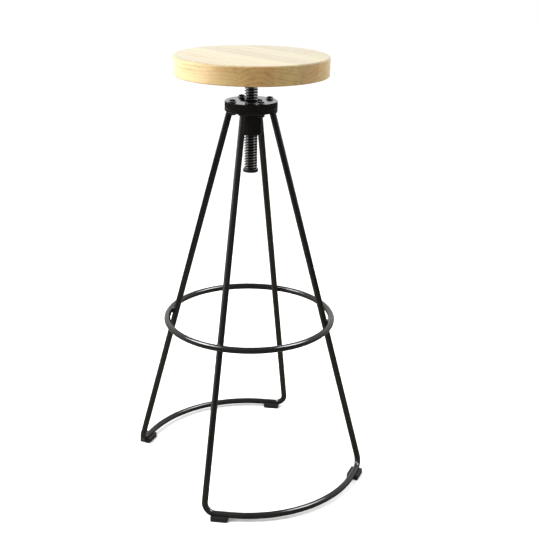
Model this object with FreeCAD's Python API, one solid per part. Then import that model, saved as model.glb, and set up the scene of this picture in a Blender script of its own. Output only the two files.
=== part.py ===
"""Swivel bar stool: a round board seat on a lift screw, held by a nut in a four-legged rod frame.

Millimetres. +Z is up, the origin is on the floor under the middle of the seat, and -Y is the front.
Each U-shaped leg frame is centred on the Y axis. The seat stands at its rest setting, a few turns
of the screw above its lowest one.
"""
import FreeCAD
import Part
import math
import os

Vector = FreeCAD.Vector
UP = Vector(0, 0, 1)

# Seat
SEAT_DIAMETER = 280.0
SEAT_THICKNESS = 34.0
SEAT_TOP_EDGE_RADIUS = 3.0
SEAT_BOTTOM_EDGE_RADIUS = 2.0
BOARD_ACROSS_ANGLE = 13.1  # direction across the boards, in degrees from +X
FIRST_BOARD_WIDTH = 30.1  # at the rim
LAST_BOARD_WIDTH = 18.4  # at the rim
MIDDLE_BOARD_COUNT = 5  # of equal width, between the first board and the last

# Plate that carries the seat, and its wood screws
SEAT_PLATE_DIAMETER = 130.0
SEAT_PLATE_THICKNESS = 5.0
SEAT_PLATE_CHAMFER = 0.8
SEAT_SCREW_COUNT = 4
SEAT_SCREW_MARGIN = 11.0  # from a screw's axis to the plate's edge
SEAT_SCREW_DIAMETER = 5.0
SEAT_SCREW_REACH = 18.0  # into the wood
SEAT_SCREW_HEAD_DIAMETER = 10.0
SEAT_SCREW_HEAD_HEIGHT = 3.0

# Lift screw: a single-start right-hand trapezoidal thread
SCREW_DIAMETER = 24.0
SCREW_PITCH = 5.0
THREAD_DEPTH = 2.75
THREAD_FLANK_ANGLE = 15.0
THREAD_CLEARANCE = 0.3
TURNS_DOWN = 7.0  # from rest to the lowest setting
TURNS_UP = 12.5  # from rest to the highest setting
LOW_GAP = 2.3  # left between the seat plate and the bolt heads at the lowest setting
HIGH_GAP = 2.0  # left between the stop washer and the sleeve at the highest setting
SCREW_END_CHAMFER = 1.5
TOP_SPIGOT_DIAMETER = 16.0

# Stop at the foot of the screw: a loose washer kept on a spigot by a low-headed screw
STOP_LIP = 2.0  # by which the washer stands out past the thread
STOP_WASHER_THICKNESS = 6.0
STOP_WASHER_CHAMFER = 0.6
STOP_WEB = 3.0  # the part of the washer above its counterbore
STOP_SPIGOT_DIAMETER = 14.0
STOP_PLAY = 0.2  # above and below the web
STOP_BORE_CLEARANCE = 0.3
STOP_HEAD_CLEARANCE = 1.0
STOP_HEAD_DIAMETER = 19.0
STOP_SCREW_DIAMETER = 8.0
STOP_SCREW_REACH = 16.0
STOP_SOCKET_WIDTH = 5.0
STOP_SOCKET_DEPTH = 1.8

# Hub: a plate with the sleeve, bolted to a plate with the legs
HUB_HEIGHT = 738.0  # floor to the top of the hub plate
HUB_DIAMETER = 96.0
HUB_PLATE_THICKNESS = 12.0
LEG_PLATE_THICKNESS = 6.0
HUB_CHAMFER = 0.8
HUB_BOLT_COUNT = 4
HUB_BOLT_ANGLE = -2.0  # of the first bolt, from +X
HUB_BOLT_MARGIN = 10.0  # from a bolt's axis to the plates' edge
HUB_BOLT_DIAMETER = 8.0
HUB_HOLE_CLEARANCE = 0.4
HUB_BOLT_HEAD_DIAMETER = 14.0
HUB_BOLT_HEAD_HEIGHT = 4.4
HUB_BOLT_HEAD_RIM = 0.9
HUB_SOCKET_WIDTH = 5.0
HUB_SOCKET_DEPTH = 2.6
HUB_BOLT_TAIL = 0.3  # past the nut
HUB_NUT_WIDTH = 13.0
HUB_NUT_HEIGHT = 4.0  # thin nuts
HUB_WASHER_DIAMETER = 16.0
HUB_WASHER_THICKNESS = 1.0

# Threaded bush in its sleeve
NUT_WALL = 4.0
NUT_LEAD_IN = 0.8  # by which the ends are opened out past the thread
SLEEVE_WALL = 4.0
SLEEVE_LENGTH = 57.0
SLEEVE_RECESS = 3.5  # below the top of the hub plate
SLEEVE_CHAMFER = 0.8
SLEEVE_HOLE_CLEARANCE = 0.5  # all round, where the sleeve drops through the leg plate

# Leg frames: one round bar each, bent to two legs and an arc on the floor
BAR_DIAMETER = 12.0
BASE_RADIUS = 223.0
LEG_MARGIN = 9.2  # from a leg's axis to the leg plate's edge, at the plate
LEG_HALF_ANGLE = 50.2  # between a leg and the Y axis, seen from above
CORNER_SETBACK = 22.0  # from the corner to where the bend starts and ends
BASE_STRAIGHT = 29.0  # straight bar between the bend and the base arc

# Foot ring and the lugs that hold it off the legs
RING_BAR_DIAMETER = 12.0
RING_HEIGHT = 316.5
RING_STANDOFF = 0.6
LUG_WIDTH = 8.0
LUG_HEIGHT = 9.0

# Feet: blocks moulded to sit under the bars, next to the corners
FOOT_START = 14.0  # from the corner to the foot's near end
FOOT_LENGTH = 32.0
FOOT_WALL = 5.4
FOOT_SOLE = 4.4
FOOT_GRIP = 2.6  # height of the walls above the bar's axis
FOOT_CHAMFER = 1.2

# Heights that follow
hub_bottom = HUB_HEIGHT - HUB_PLATE_THICKNESS
legs_top = hub_bottom - LEG_PLATE_THICKNESS
sleeve_top = HUB_HEIGHT - SLEEVE_RECESS
sleeve_bottom = sleeve_top - SLEEVE_LENGTH
seat_plate_bottom = HUB_HEIGHT + HUB_BOLT_HEAD_HEIGHT + LOW_GAP + TURNS_DOWN * SCREW_PITCH
seat_bottom = seat_plate_bottom + SEAT_PLATE_THICKNESS
stop_top = sleeve_bottom - HIGH_GAP - TURNS_UP * SCREW_PITCH
stop_bottom = stop_top - STOP_WASHER_THICKNESS
screw_bottom = stop_top + STOP_PLAY
spigot_bottom = stop_top - STOP_WEB - STOP_PLAY
bar_height = FOOT_SOLE + BAR_DIAMETER / 2

# Radii that follow
thread_radius = SCREW_DIAMETER / 2
nut_radius = thread_radius + NUT_WALL
sleeve_radius = nut_radius + SLEEVE_WALL
stop_radius = thread_radius + STOP_LIP
hub_radius = HUB_DIAMETER / 2
hub_bolt_circle = hub_radius - HUB_BOLT_MARGIN
seat_radius = SEAT_DIAMETER / 2
seat_screw_circle = SEAT_PLATE_DIAMETER / 2 - SEAT_SCREW_MARGIN
leg_top_radius = hub_radius - LEG_MARGIN
corner_reach = CORNER_SETBACK + BASE_STRAIGHT
corner_radius = math.hypot(BASE_RADIUS, corner_reach)
corner_angle = math.degrees(math.atan2(corner_reach, BASE_RADIUS))

FRONT = -90.0
REAR = 90.0
SAME_HEIGHT = 1e-6  # heights that differ by less are one


def polar(radius, angle, z=0.0):
    """Point at a radius and an angle in degrees about the Z axis."""
    turn = math.radians(angle)
    return Vector(radius * math.cos(turn), radius * math.sin(turn), z)


def rod(radius, z_low, z_high, centre=None):
    """Upright cylinder between two heights."""
    place = centre or Vector(0, 0, 0)
    return Part.makeCylinder(radius, z_high - z_low, Vector(place.x, place.y, z_low))


def tube(outer, inner, z_low, z_high, centre=None):
    """Upright ring between two heights."""
    return rod(outer, z_low, z_high, centre).cut(rod(inner, z_low, z_high, centre))


def hexagon(width, z_low, z_high):
    """Upright hexagonal bar, measured across its flats, on the Z axis."""
    corners = [polar(width / math.sqrt(3), 60 * i, z_low) for i in range(7)]
    face = Part.Face(Part.makePolygon(corners))
    return face.extrude(Vector(0, 0, z_high - z_low))


def revolved(outline):
    """Solid turned about the Z axis from points (radius, z) or arcs given as three such points."""
    edges = []
    for piece in outline:
        points = [Vector(r, 0, z) for r, z in piece]
        if len(points) == 2:
            edges.append(Part.LineSegment(*points).toShape())
        else:
            edges.append(Part.Arc(*points).toShape())
    return Part.Face(Part.Wire(edges)).revolve(Vector(0, 0, 0), UP, 360)


def round_edges_at(solid, z, radius=None, chamfer=None):
    """Fillet or chamfer of the outermost circular edge at a height."""
    level = [e for e in solid.Edges if math.isclose(e.BoundBox.ZMin, e.BoundBox.ZMax, abs_tol=SAME_HEIGHT)]
    flat = [e for e in level if math.isclose(e.BoundBox.ZMin, z, abs_tol=SAME_HEIGHT)]
    outer = max(flat, key=lambda e: e.BoundBox.XLength)
    if radius:
        return solid.makeFillet(radius, [outer])
    return solid.makeChamfer(chamfer, [outer])


def copies(solid, count, radius, first_angle=0.0):
    """Compound of a solid repeated at even angles on a circle about the Z axis."""
    placed = []
    for i in range(count):
        copy = solid.copy()
        copy.translate(polar(radius, first_angle + 360.0 * i / count))
        placed.append(copy)
    return Part.makeCompound(placed)


# Thread

HELIX_SPANS = 4  # curve spans in one turn
SPARE_TURNS = 2  # that the thread runs on past what is cut from it


def helix_poles(radius, z_start, pitch):
    """Control points of one turn of a helix that starts on the +X side."""
    step = 2 * math.pi / HELIX_SPANS
    pull = radius * 4 / 3 * math.tan(step / 4)
    rise = pitch / HELIX_SPANS
    poles = [Vector(radius, 0, z_start)]
    for i in range(HELIX_SPANS):
        for turn, along, third in ((i * step, pull, 1), ((i + 1) * step, -pull, 2)):
            x = radius * math.cos(turn) - along * math.sin(turn)
            y = radius * math.sin(turn) + along * math.cos(turn)
            poles.append(Vector(x, y, z_start + rise * (i + third / 3)))
    poles.append(Vector(radius, 0, z_start + pitch))
    return poles


def helix_band(start, end, z, pitch):
    """Face swept by a straight line, from one (radius, height) to another, over one turn of a helix."""
    rows = [helix_poles(start[0], z + start[1], pitch), helix_poles(end[0], z + end[1], pitch)]
    surface = Part.BSplineSurface()
    knots = [float(i) for i in range(HELIX_SPANS + 1)]
    mults = [4] + [2] * (HELIX_SPANS - 1) + [4]
    surface.buildFromPolesMultsKnots(rows, [2, 2], mults, [0.0, 1.0], knots, False, False, 1, 3)
    return surface.toShape()


def thread_end(profile, z, pitch):
    """Two faces that close a thread: a ramp from the axis, and the cut through one pitch beside it."""
    axis_low = Vector(0, 0, z + profile[0][1])
    axis_high = axis_low + Vector(0, 0, pitch)
    cut = [Vector(r, 0, z + offset) for r, offset in profile]
    ramp = helix_band((0.0, profile[0][1]), profile[0], z, pitch)
    return [ramp, Part.Face(Part.makePolygon([axis_low] + cut + [axis_high, axis_low]))]


def thread(growth, z_phase, z_low, z_high):
    """Threaded bar over at least this height, its ridge centred on z_phase at the +X side.

    growth is how far every face stands out from the screw's own, so the screw has none and the
    hollow of the nut has the thread's clearance.
    """
    slope = math.tan(math.radians(THREAD_FLANK_ANGLE))
    crest = thread_radius + growth
    root = crest - THREAD_DEPTH
    half_crest = SCREW_PITCH / 4 - THREAD_DEPTH / 2 * slope + growth * (1 - slope)
    half_root = half_crest + THREAD_DEPTH * slope
    profile = [
        (root, half_root - SCREW_PITCH),
        (root, -half_root),
        (crest, -half_crest),
        (crest, half_crest),
        (root, half_root),
    ]
    first = math.floor((z_low - z_phase) / SCREW_PITCH) - SPARE_TURNS
    last = math.ceil((z_high - z_phase) / SCREW_PITCH) + SPARE_TURNS
    faces = []
    for turn in range(first, last):
        z = z_phase + turn * SCREW_PITCH
        faces += [helix_band(a, b, z, SCREW_PITCH) for a, b in zip(profile, profile[1:])]
    faces += thread_end(profile, z_phase + first * SCREW_PITCH, SCREW_PITCH)
    faces += thread_end(profile, z_phase + last * SCREW_PITCH, SCREW_PITCH)
    shell = Part.makeShell(faces)
    shell.sewShape()
    solid = Part.makeSolid(shell)
    if solid.Volume < 0:
        solid.reverse()
    return solid


def bevel_cone(radius, z_low, z_high):
    """Upright cone that opens upwards at 45 degrees from a radius at its foot."""
    height = z_high - z_low
    return Part.makeCone(radius, radius + height, height, Vector(0, 0, z_low))


def lift_screw():
    """Threaded spindle with a spigot for the seat plate and one for the stop washer."""
    bar = thread(0.0, screw_bottom, screw_bottom, seat_plate_bottom)
    bar = bar.common(bevel_cone(thread_radius - SCREW_END_CHAMFER, screw_bottom, seat_plate_bottom))
    bar = bar.fuse(rod(TOP_SPIGOT_DIAMETER / 2, seat_plate_bottom, seat_bottom))
    bar = bar.fuse(rod(STOP_SPIGOT_DIAMETER / 2, spigot_bottom, screw_bottom))
    return bar.cut(rod(STOP_SCREW_DIAMETER / 2, spigot_bottom, spigot_bottom + STOP_SCREW_REACH))


def lift_nut():
    """Bush with the thread that the spindle turns in, opened out at both ends."""
    bush = rod(nut_radius, sleeve_bottom, sleeve_top)
    mouth = THREAD_DEPTH + NUT_LEAD_IN
    root = thread_radius + THREAD_CLEARANCE - THREAD_DEPTH
    lead_in = bevel_cone(root, sleeve_top - mouth, sleeve_top)
    bush = bush.cut(lead_in)
    middle = Vector(0, 0, (sleeve_bottom + sleeve_top) / 2)
    bush = bush.cut(lead_in.mirror(middle, UP))
    return bush.cut(thread(THREAD_CLEARANCE, screw_bottom, sleeve_bottom, sleeve_top))


def sleeve():
    """Tube that holds the bush and hangs from the hub plate."""
    body = rod(sleeve_radius, sleeve_bottom, sleeve_top)
    body = round_edges_at(body, sleeve_bottom, chamfer=SLEEVE_CHAMFER)
    return body.cut(rod(nut_radius, sleeve_bottom, sleeve_top))


# Stop

def stop_washer():
    """Loose washer that meets the sleeve at the highest setting, counterbored for its screw."""
    body = rod(stop_radius, stop_bottom, stop_top)
    body = round_edges_at(body, stop_top, chamfer=STOP_WASHER_CHAMFER)
    body = round_edges_at(body, stop_bottom, chamfer=STOP_WASHER_CHAMFER)
    body = body.cut(rod(STOP_SPIGOT_DIAMETER / 2 + STOP_BORE_CLEARANCE, stop_bottom, stop_top))
    counterbore = STOP_HEAD_DIAMETER / 2 + STOP_HEAD_CLEARANCE
    return body.cut(rod(counterbore, stop_bottom, stop_top - STOP_WEB))


def stop_screw():
    """Low-headed screw in the end of the spindle, recessed in the washer."""
    head_bottom = stop_bottom + STOP_PLAY
    body = rod(STOP_HEAD_DIAMETER / 2, head_bottom, spigot_bottom)
    body = body.fuse(rod(STOP_SCREW_DIAMETER / 2, spigot_bottom, spigot_bottom + STOP_SCREW_REACH))
    return body.cut(hexagon(STOP_SOCKET_WIDTH, head_bottom, head_bottom + STOP_SOCKET_DEPTH))


# Seat

def seat_screws():
    """Pan-headed wood screws up through the seat plate."""
    head_bottom = seat_plate_bottom - SEAT_SCREW_HEAD_HEIGHT
    head = rod(SEAT_SCREW_HEAD_DIAMETER / 2, head_bottom, seat_plate_bottom)
    head = round_edges_at(head, head_bottom, chamfer=SEAT_SCREW_HEAD_HEIGHT / 2)
    shank = rod(SEAT_SCREW_DIAMETER / 2, seat_plate_bottom, seat_bottom + SEAT_SCREW_REACH)
    first = BOARD_ACROSS_ANGLE + 180.0 / SEAT_SCREW_COUNT
    return copies(head.fuse(shank), SEAT_SCREW_COUNT, seat_screw_circle, first)


def seat_plate(screws):
    """Round plate under the seat, with the spindle's spigot in its middle."""
    body = rod(SEAT_PLATE_DIAMETER / 2, seat_plate_bottom, seat_bottom)
    body = round_edges_at(body, seat_plate_bottom, chamfer=SEAT_PLATE_CHAMFER)
    body = body.cut(rod(TOP_SPIGOT_DIAMETER / 2, seat_plate_bottom, seat_bottom))
    return body.cut(screws)


def seat_boards(screws):
    """Boards of the glued seat, in order across it."""
    top = seat_bottom + SEAT_THICKNESS
    disc = rod(seat_radius, seat_bottom, top)
    disc = round_edges_at(disc, top, radius=SEAT_TOP_EDGE_RADIUS)
    disc = round_edges_at(disc, seat_bottom, radius=SEAT_BOTTOM_EDGE_RADIUS)
    disc = disc.cut(screws)
    middle_width = (SEAT_DIAMETER - FIRST_BOARD_WIDTH - LAST_BOARD_WIDTH) / MIDDLE_BOARD_COUNT
    boards = []
    low = -seat_radius
    for width in [FIRST_BOARD_WIDTH] + [middle_width] * MIDDLE_BOARD_COUNT + [LAST_BOARD_WIDTH]:
        corner = Vector(low, -seat_radius, seat_bottom)
        slab = Part.makeBox(width, SEAT_DIAMETER, SEAT_THICKNESS, corner)
        slab.rotate(Vector(0, 0, 0), UP, BOARD_ACROSS_ANGLE)
        boards.append(disc.common(slab).Solids[0])
        low += width
    return boards


# Hub

def hub_holes(z_low, z_high):
    """Clearance holes for the hub's bolts."""
    hole = rod(HUB_BOLT_DIAMETER / 2 + HUB_HOLE_CLEARANCE, z_low, z_high)
    return copies(hole, HUB_BOLT_COUNT, hub_bolt_circle, HUB_BOLT_ANGLE)


def hub_plate():
    """Upper plate, which the sleeve is welded into."""
    body = rod(hub_radius, hub_bottom, HUB_HEIGHT)
    body = round_edges_at(body, HUB_HEIGHT, chamfer=HUB_CHAMFER)
    body = round_edges_at(body, hub_bottom, chamfer=HUB_CHAMFER / 2)
    body = body.cut(rod(sleeve_radius, hub_bottom, HUB_HEIGHT))
    body = body.cut(bevel_cone(sleeve_radius, HUB_HEIGHT - HUB_CHAMFER, HUB_HEIGHT))
    return body.cut(hub_holes(hub_bottom, HUB_HEIGHT))


def leg_plate():
    """Lower plate, which the legs are welded under and the sleeve drops through."""
    body = rod(hub_radius, legs_top, hub_bottom)
    body = round_edges_at(body, hub_bottom, chamfer=HUB_CHAMFER / 2)
    body = round_edges_at(body, legs_top, chamfer=HUB_CHAMFER)
    body = body.cut(rod(sleeve_radius + SLEEVE_HOLE_CLEARANCE, legs_top, hub_bottom))
    return body.cut(hub_holes(legs_top, hub_bottom))


def hub_bolts():
    """Button-headed bolts through both plates."""
    radius = HUB_BOLT_HEAD_DIAMETER / 2
    crown = HUB_HEIGHT + HUB_BOLT_HEAD_HEIGHT
    rim = HUB_HEIGHT + HUB_BOLT_HEAD_RIM
    flat = HUB_BOLT_DIAMETER / 2
    bulge = ((radius + flat) / 2 + HUB_BOLT_HEAD_RIM / 2, (rim + crown) / 2 + HUB_BOLT_HEAD_RIM / 2)
    head = revolved([
        [(0, HUB_HEIGHT), (radius, HUB_HEIGHT)],
        [(radius, HUB_HEIGHT), (radius, rim)],
        [(radius, rim), bulge, (flat, crown)],
        [(flat, crown), (0, crown)],
        [(0, crown), (0, HUB_HEIGHT)],
    ])
    tail = legs_top - HUB_WASHER_THICKNESS - HUB_NUT_HEIGHT - HUB_BOLT_TAIL
    bolt = head.fuse(rod(HUB_BOLT_DIAMETER / 2, tail, HUB_HEIGHT))
    bolt = bolt.cut(hexagon(HUB_SOCKET_WIDTH, crown - HUB_SOCKET_DEPTH, crown))
    return copies(bolt, HUB_BOLT_COUNT, hub_bolt_circle, HUB_BOLT_ANGLE)


def hub_washers():
    """Flat washers under the nuts."""
    inner = HUB_BOLT_DIAMETER / 2 + HUB_HOLE_CLEARANCE
    washer = tube(HUB_WASHER_DIAMETER / 2, inner, legs_top - HUB_WASHER_THICKNESS, legs_top)
    return copies(washer, HUB_BOLT_COUNT, hub_bolt_circle, HUB_BOLT_ANGLE)


def hub_nuts():
    """Hexagon nuts with their corners turned down at both ends."""
    high = legs_top - HUB_WASHER_THICKNESS
    low = high - HUB_NUT_HEIGHT
    flat = HUB_NUT_WIDTH / 2
    corner = HUB_NUT_WIDTH / math.sqrt(3)
    fall = (corner - flat) * math.tan(math.radians(30))
    barrel = revolved([
        [(0, low), (flat, low)],
        [(flat, low), (corner, low + fall)],
        [(corner, low + fall), (corner, high - fall)],
        [(corner, high - fall), (flat, high)],
        [(flat, high), (0, high)],
        [(0, high), (0, low)],
    ])
    nut = hexagon(HUB_NUT_WIDTH, low, high).common(barrel)
    nut = nut.cut(rod(HUB_BOLT_DIAMETER / 2, low, high))
    return copies(nut, HUB_BOLT_COUNT, hub_bolt_circle, HUB_BOLT_ANGLE)


# Legs

def leg_axis(angle):
    """Top of a leg's axis, at the leg plate, and its corner on the floor."""
    return polar(leg_top_radius, angle, legs_top), polar(corner_radius, angle, bar_height)


def leg_radius_at(z):
    """Distance of a leg's axis from the stool's axis at a height."""
    share = (legs_top - z) / (legs_top - bar_height)
    return leg_top_radius + share * (corner_radius - leg_top_radius)


def half_path(middle_angle, side):
    """Leg, bend and straight of half a leg frame, as edges from the leg's top to the base arc."""
    angle = middle_angle + side * LEG_HALF_ANGLE
    top, corner = leg_axis(angle)
    arc_end = polar(BASE_RADIUS, angle - side * corner_angle, bar_height)
    down = (corner - top).normalize()
    along = (arc_end - corner).normalize()
    half_turn = down.getAngle(along) / 2
    bend_radius = CORNER_SETBACK / math.tan(half_turn)
    bend_start = corner - down * CORNER_SETBACK
    bend_end = corner + along * CORNER_SETBACK
    inward = (along - down).normalize()
    bend_middle = corner + inward * (bend_radius / math.cos(half_turn) - bend_radius)
    overrun = top - down * BAR_DIAMETER
    edges = [
        Part.LineSegment(overrun, bend_start).toShape(),
        Part.Arc(bend_start, bend_middle, bend_end).toShape(),
        Part.LineSegment(bend_end, arc_end).toShape(),
    ]
    return edges, arc_end


def leg_frame(middle_angle):
    """Bar bent to a leg, an arc on the floor and a second leg, cut off level under the leg plate."""
    left, left_end = half_path(middle_angle, -1)
    right, right_end = half_path(middle_angle, 1)
    base = Part.Arc(left_end, polar(BASE_RADIUS, middle_angle, bar_height), right_end).toShape()
    path = Part.Wire(left + [base] + right[::-1])
    start = left[0].Vertexes[0].Point
    section = Part.makeCircle(BAR_DIAMETER / 2, start, left[0].tangentAt(left[0].FirstParameter))
    bar = path.makePipeShell([Part.Wire([section])], True, False)
    above = rod(hub_radius, legs_top, legs_top + 2 * BAR_DIAMETER)
    return bar.cut(above)


# Foot ring

leg_slope = math.atan2(corner_radius - leg_top_radius, legs_top - bar_height)
leg_half_width = BAR_DIAMETER / 2 / math.cos(leg_slope)
ring_radius = leg_radius_at(RING_HEIGHT) + leg_half_width + RING_STANDOFF + RING_BAR_DIAMETER / 2
leg_angles = [middle + side * LEG_HALF_ANGLE for middle in (FRONT, REAR) for side in (-1, 1)]


def foot_ring():
    """Round bar closed to a ring outside the legs."""
    return Part.makeTorus(ring_radius, RING_BAR_DIAMETER / 2, Vector(0, 0, RING_HEIGHT))


def ring_lugs(legs, ring):
    """Short blocks welded between each leg and the ring, hollowed to fit both."""
    inner = leg_radius_at(RING_HEIGHT)
    lugs = []
    for angle in leg_angles:
        corner = Vector(inner, -LUG_WIDTH / 2, RING_HEIGHT - LUG_HEIGHT / 2)
        block = Part.makeBox(ring_radius - inner, LUG_WIDTH, LUG_HEIGHT, corner)
        block.rotate(Vector(0, 0, 0), UP, angle)
        lugs.append(block.cut(legs).cut(ring).Solids[0])
    return Part.makeCompound(lugs)


# Feet

def foot(middle_angle, side, frame):
    """Block under the straight of the bar beside one corner, hollowed to fit the bar."""
    half_width = BAR_DIAMETER / 2 + FOOT_WALL
    height = bar_height + FOOT_GRIP
    block = Part.makeBox(FOOT_LENGTH, 2 * half_width, height, Vector(FOOT_START, -half_width, 0))
    upright = [e for e in block.Edges if e.BoundBox.ZLength > height / 2]
    upper = [e for e in block.Edges if e.BoundBox.ZMin > height / 2]
    block = block.makeChamfer(FOOT_CHAMFER, upright + upper)
    angle = middle_angle + side * LEG_HALF_ANGLE
    block.rotate(Vector(0, 0, 0), UP, angle - side * (corner_angle + 90))
    block.translate(polar(corner_radius, angle))
    return max(block.cut(frame).Solids, key=lambda s: s.Volume)


def build():
    """Every piece of the stool by its name."""
    screws = seat_screws()
    front = leg_frame(FRONT)
    rear = leg_frame(REAR)
    ring = foot_ring()
    pieces = {
        "front_leg_frame": front,
        "rear_leg_frame": rear,
        "leg_plate": leg_plate(),
        "hub_plate": hub_plate(),
        "hub_bolts": hub_bolts(),
        "hub_washers": hub_washers(),
        "hub_nuts": hub_nuts(),
        "sleeve": sleeve(),
        "lift_nut": lift_nut(),
        "foot_ring": ring,
        "ring_lugs": ring_lugs(Part.makeCompound([front, rear]), ring),
        "foot_front_left": foot(FRONT, -1, front),
        "foot_front_right": foot(FRONT, 1, front),
        "foot_rear_right": foot(REAR, -1, rear),
        "foot_rear_left": foot(REAR, 1, rear),
        "stop_washer": stop_washer(),
        "stop_screw": stop_screw(),
        "lift_screw": lift_screw(),
        "seat_plate": seat_plate(screws),
        "seat_screws": screws,
    }
    for number, board in enumerate(seat_boards(screws), start=1):
        pieces[f"seat_board_{number}"] = board
    return pieces


def main():
    os.makedirs("parts", exist_ok=True)
    for name, shape in build().items():
        shape.exportStep(f"parts/{name}.step")


main()
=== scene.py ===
"""Finishes, weld beads, moulded feet and studio of a swivel bar stool, laid out as an add-on.

Metres. +Z is up, the floor is at Z = 0, the lift screw runs along the Z axis and -Y is the front.
"""

import math
from typing import NamedTuple

import bmesh
import bpy
from bpy.props import FloatProperty, FloatVectorProperty, IntProperty, PointerProperty
from mathutils import Euler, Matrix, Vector


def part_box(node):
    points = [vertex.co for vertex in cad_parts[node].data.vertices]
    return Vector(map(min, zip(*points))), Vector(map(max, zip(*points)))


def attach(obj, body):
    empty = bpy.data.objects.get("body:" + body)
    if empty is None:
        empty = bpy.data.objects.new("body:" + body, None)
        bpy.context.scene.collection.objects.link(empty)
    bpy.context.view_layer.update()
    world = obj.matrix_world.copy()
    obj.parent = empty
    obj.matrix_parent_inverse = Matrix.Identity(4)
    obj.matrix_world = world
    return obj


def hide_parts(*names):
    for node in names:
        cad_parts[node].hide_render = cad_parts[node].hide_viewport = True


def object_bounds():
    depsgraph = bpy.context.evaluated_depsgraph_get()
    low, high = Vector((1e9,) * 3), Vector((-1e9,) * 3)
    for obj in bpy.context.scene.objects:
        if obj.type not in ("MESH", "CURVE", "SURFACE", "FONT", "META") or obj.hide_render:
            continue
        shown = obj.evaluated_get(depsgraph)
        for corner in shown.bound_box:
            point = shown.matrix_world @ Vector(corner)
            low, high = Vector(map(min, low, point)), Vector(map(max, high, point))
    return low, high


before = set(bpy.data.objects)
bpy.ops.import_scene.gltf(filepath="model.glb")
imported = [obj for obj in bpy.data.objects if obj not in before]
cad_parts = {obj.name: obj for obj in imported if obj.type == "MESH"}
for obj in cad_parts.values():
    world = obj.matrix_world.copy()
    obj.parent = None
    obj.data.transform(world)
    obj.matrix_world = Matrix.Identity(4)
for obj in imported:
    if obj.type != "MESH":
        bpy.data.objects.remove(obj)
cad_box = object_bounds()

bl_info = {
    "name": "Swivel Bar Stool",
    "version": (1, 0, 0),
    "blender": (4, 5, 0),
    "location": "3D View > Sidebar > Stool",
    "description": "Finishes a screw-lift bar stool and sets it in a plain studio",
    "category": "Object",
}

UP = Vector((0.0, 0.0, 1.0))

PAINTED_NODES = (
    "front_leg_frame", "rear_leg_frame", "leg_plate", "hub_plate", "sleeve", "foot_ring", "ring_lugs",
    "seat_plate",
)
SCREW_NODES = ("lift_screw", "lift_nut")
BOLT_NODES = ("hub_bolts",)
BLACKENED_NODES = ("hub_washers", "hub_nuts", "stop_screw", "stop_washer")
ZINC_NODES = ("seat_screws",)
FEET = ("foot_front_left", "foot_front_right", "foot_rear_right", "foot_rear_left")
BOARDS = sorted(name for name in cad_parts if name.startswith("seat_board_"))


class BoardCut(NamedTuple):
    """Wood of one board: how warm it is, from yellow at 0 to tan at 1, how light, and its tree's heart.

    The heart is where the middle of the growth rings lay, across and above the seat's middle.
    """

    warmth: float
    shade: float
    heart: tuple


# In order across the seat
BOARD_CUTS = (
    BoardCut(warmth=0.3, shade=0.95, heart=(-0.13, -0.09)),
    BoardCut(warmth=0.6, shade=1.03, heart=(-0.085, -0.045)),
    BoardCut(warmth=0.2, shade=1.08, heart=(-0.02, 0.11)),
    BoardCut(warmth=0.45, shade=0.88, heart=(0.03, -0.10)),
    BoardCut(warmth=0.1, shade=1.02, heart=(0.02, 0.12)),
    BoardCut(warmth=0.3, shade=0.86, heart=(0.12, -0.08)),
    BoardCut(warmth=0.35, shade=0.9, heart=(0.10, 0.09)),
)
# How far along their trees the boards were cut: the first, and from each to the next
FIRST_CUT = 0.37
CUT_STEP = 0.9

# Mean of the noise that every finish is broken up with
NOISE_MEAN = 0.5

# Noise cells in a metre of wood: across a board, along it and through it
SWAY_CELLS = (9.0, 1.6, 9.0)
WOBBLE_CELLS = (40.0, 2.0, 40.0)
FIBRE_CELLS = (520.0, 9.0, 520.0)
STREAK_CELLS = (95.0, 2.2, 95.0)
CLOUD_CELLS = (22.0, 5.0, 22.0)
PORE_CELLS = (850.0, 45.0, 850.0)
# How far the heart strays across a board and through it, and how much each direction counts for the rings
SWAY_REACH = (0.05, 0.0, 0.05)
RING_STRETCH = (1.0, 0.12, 1.0)
# Shares of a ring: how far its edge wobbles, where the late wood starts and where it is darkest
RING_WOBBLE = 0.9
LATE_START = 0.35
LATE_PEAK = 0.93
# Noise levels between which pores, streaks and fibres set in, and between which streaks gather the pores
PORE_BAND = (0.62, 0.72)
STREAK_BAND = (0.5, 0.78)
FIBRE_BAND = (0.4, 0.8)
GATHERING_BAND = (0.35, 0.65)
# How far a face turns up to become top, and lengthwise to become end grain, as parts of its normal
TOP_BAND = (0.3, 0.95)
END_BAND = (0.2, 0.95)
# Strengths of the layers of the wood's colour, from 0 to 1
FAINTEST_RING = 0.25
FAINTEST_PORES = 0.25
# Painted top light: how far the top is paled, standing in for strong light from above
PAINTED_TOP_LIGHT_SHARE = 0.75
LATE_TINT = 0.3
STREAK_TINT = 0.24
FIBRE_TINT = 0.2
RIM_PORES = 0.75
TOP_PORES = 0.55
END_DARKENING = 0.28
# How many times stronger the rim's figure is than the top's, and how far patches change a board's warmth
RIM_FIGURE = 1.6
CLOUD_WARMTH = 1.1
# Relief of the wood's surface, as shares of its depth, and that depth
FIBRE_HEIGHT = 0.35
PORE_HEIGHT = 0.8
LATE_HEIGHT = 0.12
WOOD_DEPTH = 0.00012
# How the fibres change the lacquer's roughness, and how much rougher it is on the rim and in the pores
LACQUER_BAND = (0.3, 0.7)
LACQUER_SPREAD = (-0.04, 0.05)
RIM_ROUGHENING = 0.12
PORE_ROUGHENING = 0.12

# Noise levels between which gloss changes and patches set in
GLOSS_BAND = (0.3, 0.7)
PATCH_BAND = (0.25, 0.75)
# Specks in the width of one grain of the fine relief, and their height beside it
SPECK_CELLS = 0.35
SPECK_HEIGHT = 0.6
# How far a surface turns within an edge's width to show as rubbed, and the noise levels of its breaks
EDGE_BAND = (0.02, 0.18)
BREAK_BAND = (0.4, 0.65)
# Depth of the relief in metal and paint, and in rubber
METAL_DEPTH = 0.00002
RUBBER_DEPTH = 0.00008
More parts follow.
